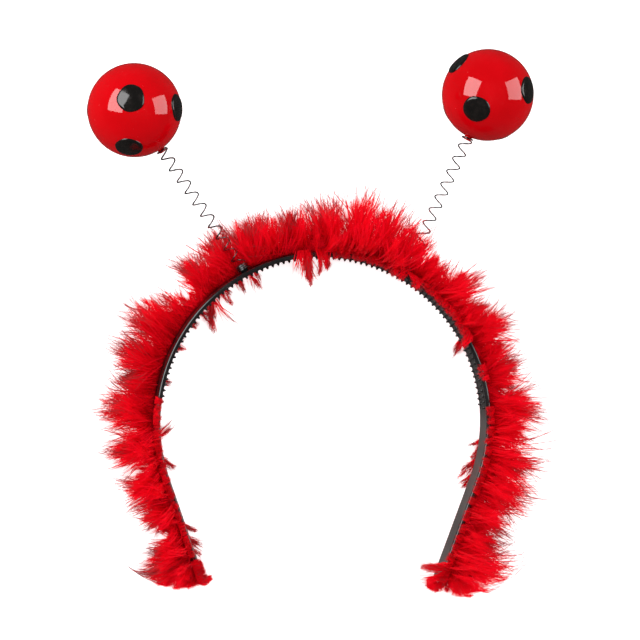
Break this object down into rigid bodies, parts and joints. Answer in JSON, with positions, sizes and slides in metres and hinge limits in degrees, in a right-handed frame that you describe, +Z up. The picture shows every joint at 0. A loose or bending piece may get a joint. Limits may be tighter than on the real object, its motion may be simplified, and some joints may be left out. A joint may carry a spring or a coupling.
{
  "type": "ladybug headband",
  "caption": "Costume hair band: a toothed plastic arch with fluffy feather trim and spotted balls that bob on coil springs like ladybug antennae.",
  "frame": {"origin": "on the surface that the headband lies on, under the middle of its bounding box", "axes": "+Z up from the surface, +Y from the middle of the head towards the crest and the balls, +X to the right of someone who looks down on it"},
  "size_m": [0.1836, 0.2214, 0.0366],
  "materials": {
    "black_plastic": "glossy moulded black plastic",
    "red_feather": "soft dyed down",
    "spring_steel": "bright drawn wire",
    "red_plastic": "glossy red plastic",
    "black_paint": "thick glossy black paint"
  },
  "bodies": {
    "band": {"headband": "black_plastic", "feather_trim": "red_feather", "spring_left": "spring_steel", "spring_right": "spring_steel"},
    "antenna_left": {"ball_left": "red_plastic", "spot_left_1": "black_paint", "spot_left_2": "black_paint", "spot_left_3": "black_paint", "spot_left_4": "black_paint", "spot_left_5": "black_paint", "spot_left_6": "black_paint"},
    "antenna_right": {"ball_right": "red_plastic", "spot_right_1": "black_paint", "spot_right_2": "black_paint", "spot_right_3": "black_paint", "spot_right_4": "black_paint", "spot_right_5": "black_paint", "spot_right_6": "black_paint"}
  },
  "joints": [
    {"name": "antenna_left_sway", "type": "hinge", "parent": "band", "child": "antenna_left", "pos_m": [-0.04892, 0.04915, 0.0133], "axis": [0, 0, 1], "range_deg": [-35, 35], "stiffness_Nm_per_rad": 0.0038, "deforming": ["spring_left"]},
    {"name": "antenna_right_sway", "type": "hinge", "parent": "band", "child": "antenna_right", "pos_m": [0.04802, 0.05309, 0.01323], "axis": [0, 0, 1], "range_deg": [-35, 35], "stiffness_Nm_per_rad": 0.0038, "deforming": ["spring_right"]}
  ]
}
